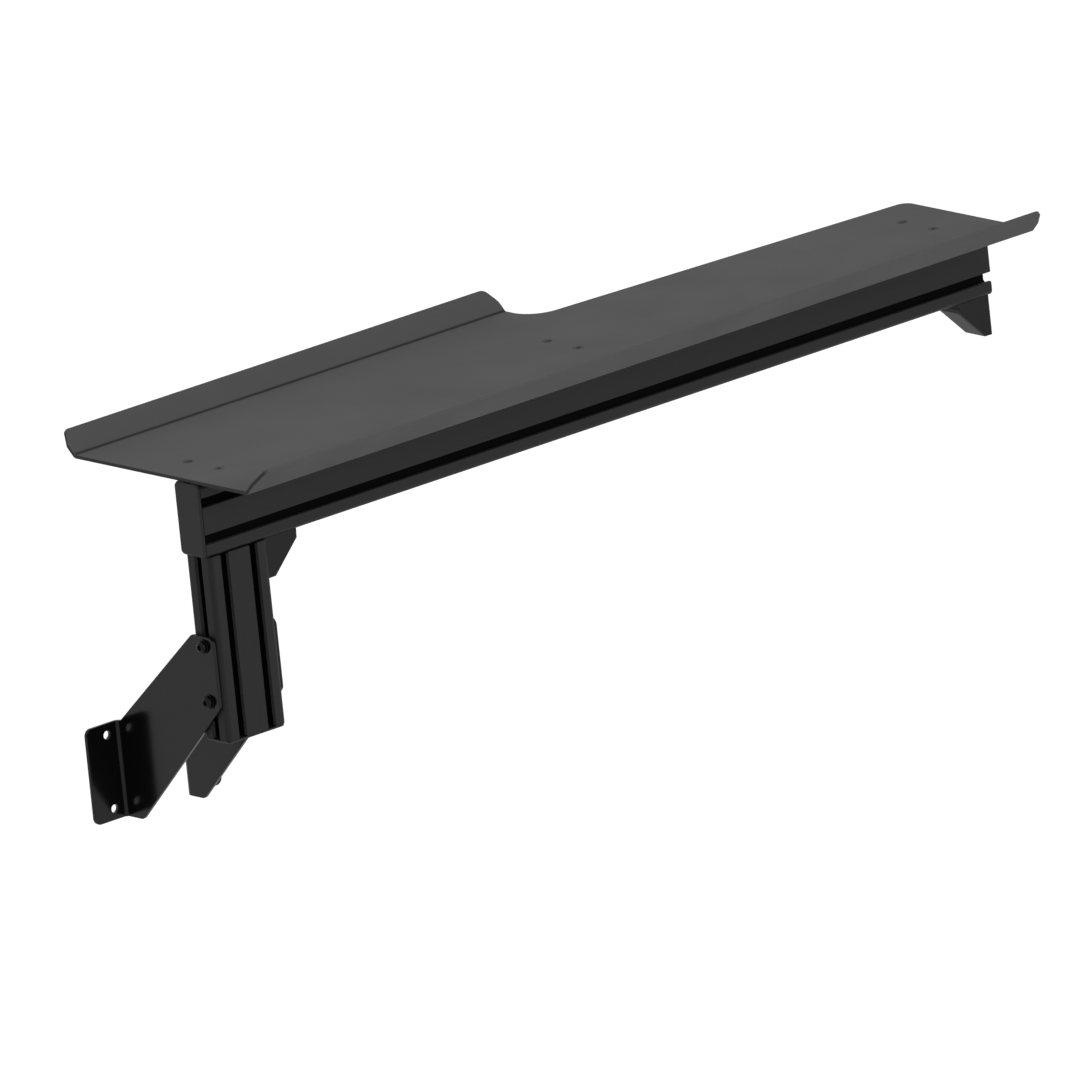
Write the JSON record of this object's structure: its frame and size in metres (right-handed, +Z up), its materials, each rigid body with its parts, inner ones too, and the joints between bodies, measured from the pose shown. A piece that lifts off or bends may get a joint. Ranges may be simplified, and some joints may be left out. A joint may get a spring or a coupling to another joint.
{
  "type": "side table for a sim rig",
  "caption": "Bent sheet tray on a slotted aluminium beam, carried at one end by a short post that two cranked brackets clamp to a rig at a chosen height.",
  "frame": {"origin": "centre of the four rig bolts, on the rear face of the bracket flanges", "axes": "+X along the beam to its far end, +Y out of the bracket flanges into the rig, +Z up"},
  "size_m": [1.1448, 0.3249, 0.4138],
  "materials": {
    "tray_coat": "fine-textured charcoal powder coat",
    "bracket_coat": "satin black powder coat",
    "anodised": "satin black anodised, drawn lengthwise",
    "moulding": "finely grained black plastic",
    "casting": "black coated die casting",
    "black_steel": "black oxide with a thin film of oil",
    "plated_steel": "bright zinc plating"
  },
  "bodies": {
    "rig_clamp": {"left_bracket": "bracket_coat", "left_clamp_bolts": "black_steel", "left_clamp_washers": "black_steel", "left_clamp_nuts": "plated_steel", "right_bracket": "bracket_coat", "right_clamp_bolts": "black_steel", "right_clamp_washers": "black_steel", "right_clamp_nuts": "plated_steel"},
    "table": {"beam": "anodised", "post": "anodised", "beam_end_cap": "moulding", "post_end_cap": "moulding", "tray": "tray_coat", "tray_screws": "black_steel", "tray_nuts": "plated_steel", "near_corner_bracket": "casting", "near_corner_bolts": "black_steel", "near_corner_washers": "black_steel", "near_corner_nuts": "plated_steel", "near_corner_cover": "moulding", "far_corner_bracket": "casting", "far_corner_bolt": "black_steel", "far_corner_washer": "black_steel", "far_corner_nut": "plated_steel", "far_corner_cover": "moulding"}
  },
  "joints": [
    {"name": "height_slide", "type": "slide", "parent": "rig_clamp", "child": "table", "axis": [0, 0, 1], "range_m": [-0.04, 0.03]}
  ]
}
